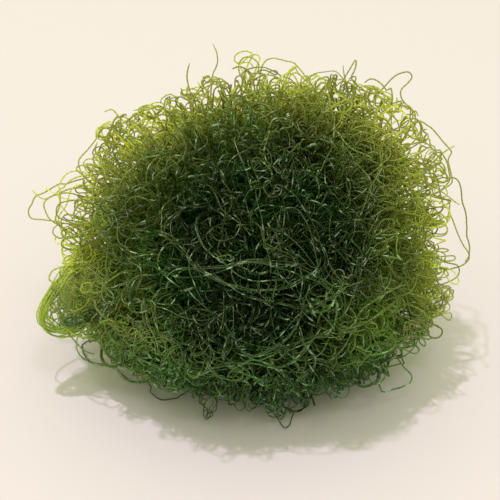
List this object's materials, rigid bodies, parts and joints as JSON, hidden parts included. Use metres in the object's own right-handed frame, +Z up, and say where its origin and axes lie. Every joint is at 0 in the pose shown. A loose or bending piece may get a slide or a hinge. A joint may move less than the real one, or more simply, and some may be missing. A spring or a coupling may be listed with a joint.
{
  "type": "chaetomorpha algae",
  "caption": "Handful of damp, wiry green algae: a dense tangled mat with loops and loose filaments standing out all round, resting on its flat underside.",
  "frame": {"origin": "under the middle of the mat, on the flat underside that it rests on", "axes": "+Z up from the surface it rests on, the shortest way through it; +X to the right, its longest way; -Y to the front"},
  "size_m": [0.1111, 0.0897, 0.0812],
  "materials": {
    "wet_algae": "damp matted filaments, deep green, slightly glossy",
    "pale_algae": "single damp filaments, yellow-green where the light comes through them"
  },
  "bodies": {
    "root": {"tangle": "wet_algae", "crown_loop": "pale_algae", "crown_arch": "pale_algae", "right_shoulder_loop": "pale_algae", "right_shoulder_arch": "pale_algae", "right_hip_loop": "pale_algae", "right_foot_arch": "pale_algae", "front_foot_loop": "pale_algae", "front_left_arch": "pale_algae", "left_flap_loop": "pale_algae", "left_shoulder_loop": "pale_algae", "left_shoulder_arch": "pale_algae", "upper_front_strand": "pale_algae", "right_front_strand": "pale_algae", "lower_front_strand": "pale_algae", "back_arch": "pale_algae", "back_loop": "pale_algae"}
  },
  "joints": []
}
